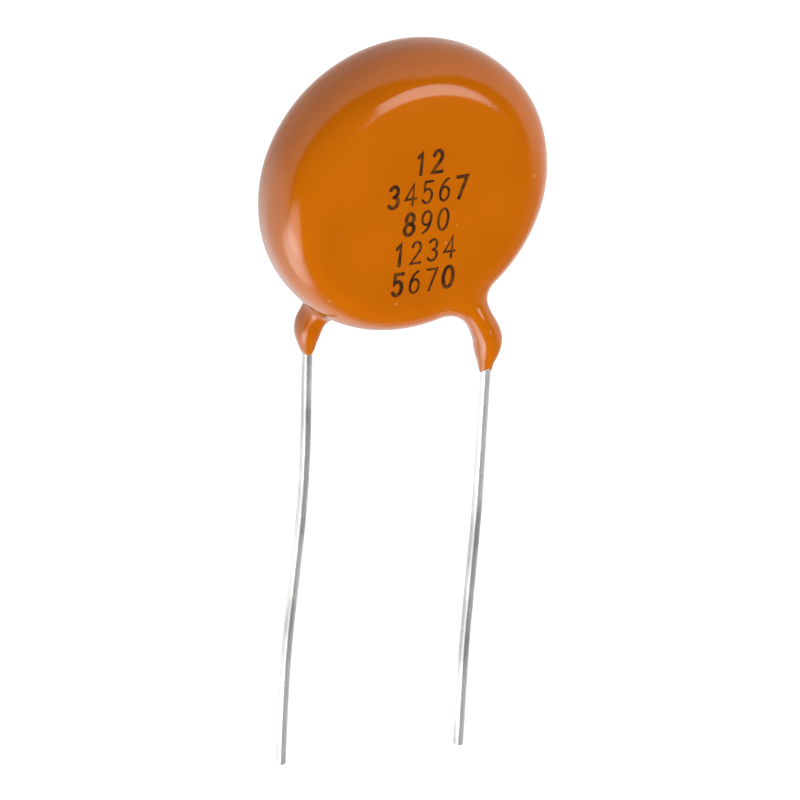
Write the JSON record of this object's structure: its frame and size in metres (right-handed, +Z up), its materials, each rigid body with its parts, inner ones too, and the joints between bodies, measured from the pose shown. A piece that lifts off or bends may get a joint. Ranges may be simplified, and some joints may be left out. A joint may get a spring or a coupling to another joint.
{
  "type": "ceramic disc capacitor",
  "caption": "High-voltage ceramic disc capacitor: dipped epoxy disc with long radial wire leads, for soldering through a circuit board.",
  "frame": {"origin": "middle of the two leads on the seating plane, where the lower end of the coating would meet a board", "axes": "+Z up along the leads towards the disc, +Y along the disc's axis from the marked face to the rear face, +X from the rear lead to the front lead"},
  "size_m": [0.023, 0.0068, 0.0611],
  "materials": {
    "epoxy_coating": "smooth glossy dipped epoxy, orange",
    "fired_ceramic": "matt fired ceramic",
    "silver_electrode": "matt fired silver",
    "solder": "satin solder",
    "tinned_wire": "bright hot-tinned copper wire, slightly uneven"
  },
  "bodies": {
    "root": {"coating": "epoxy_coating", "ceramic_disc": "fired_ceramic", "front_electrode": "silver_electrode", "rear_electrode": "silver_electrode", "front_solder": "solder", "rear_solder": "solder", "front_lead": "tinned_wire", "rear_lead": "tinned_wire"}
  },
  "joints": []
}
